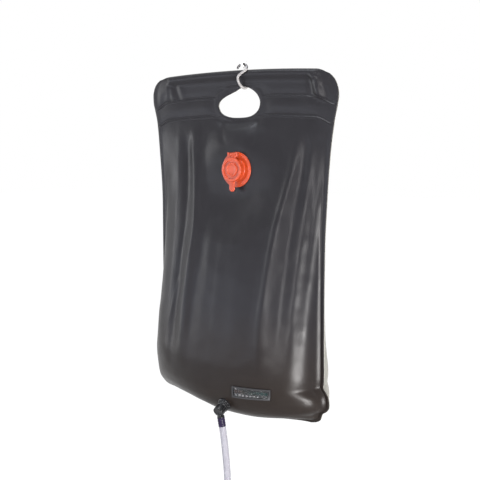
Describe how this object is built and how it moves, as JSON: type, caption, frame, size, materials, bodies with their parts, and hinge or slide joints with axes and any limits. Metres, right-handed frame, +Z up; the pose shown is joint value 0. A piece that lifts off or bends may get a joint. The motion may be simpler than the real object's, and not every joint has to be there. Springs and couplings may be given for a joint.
{
  "type": "camp shower bag",
  "caption": "Hanging water bag for camp showers: filler valve with a hinged cap, hand hole, thermometer strip, outlet elbow and a hose with a pull-open shower head, hung by a cord and hook.",
  "frame": {"origin": "the point inside the cord's eye where the bag hangs, at the top of the eye's inner side", "axes": "+Z up; the front panel with the filler valve faces -Y; +X is the bag's right as seen from the front"},
  "size_m": [0.3842, 0.1886, 1.016],
  "materials": {
    "black_vinyl": "semi-gloss PVC film",
    "pale_vinyl": "translucent pale PVC film",
    "rod_plastic": "plain plastic tube",
    "valve_red": "moulded red-orange plastic",
    "backing_plastic": "black plastic",
    "seal_rubber": "soft black rubber",
    "pin_steel": "plain steel",
    "outlet_black": "gloss black plastic",
    "washer_rubber": "soft black rubber",
    "clear_hose": "clear flexible PVC with a faint lavender tint",
    "tie_plastic": "black plastic band",
    "head_black": "black plastic",
    "head_seal_rubber": "soft black rubber",
    "rose_red": "moulded red-orange plastic",
    "plate_black": "black plastic",
    "strip_black": "printed strip",
    "frame_black": "raised black border",
    "window_clear": "clear film",
    "white_cord": "braided white cord",
    "bright_steel": "bright steel wire"
  },
  "bodies": {
    "bag": {"front_panel": "black_vinyl", "back_panel": "pale_vinyl", "handle_rod": "rod_plastic", "filler_flange": "valve_red", "filler_backing_ring": "backing_plastic", "filler_hinge_block": "valve_red", "filler_hinge_pin": "pin_steel", "outlet_flange": "outlet_black", "outlet_washer": "washer_rubber", "outlet_nut": "outlet_black", "outlet_elbow": "outlet_black", "hose_cuff": "clear_hose", "hose": "clear_hose", "hose_coil": "clear_hose", "hose_tie": "tie_plastic", "head_body": "head_black", "head_seal": "head_seal_rubber", "thermometer_strip": "strip_black", "thermometer_frame": "frame_black", "thermometer_window": "window_clear", "hanging_cord": "white_cord", "hanging_eye": "white_cord", "hanging_knot": "white_cord", "hanging_hook": "bright_steel"},
    "filler_cap": {"filler_cap": "valve_red", "cap_seal": "seal_rubber"},
    "spray_rose": {"spray_rose": "rose_red", "spray_plate": "plate_black"}
  },
  "joints": [
    {"name": "cap_hinge", "type": "hinge", "parent": "bag", "child": "filler_cap", "pos_m": [-0.001, -0.02675, -0.3034], "axis": [-1, 0, 0], "range_deg": [0, 150]},
    {"name": "rose_slide", "type": "slide", "parent": "bag", "child": "spray_rose", "axis": [0, 0, -1], "range_m": [0, 0.008]}
  ]
}
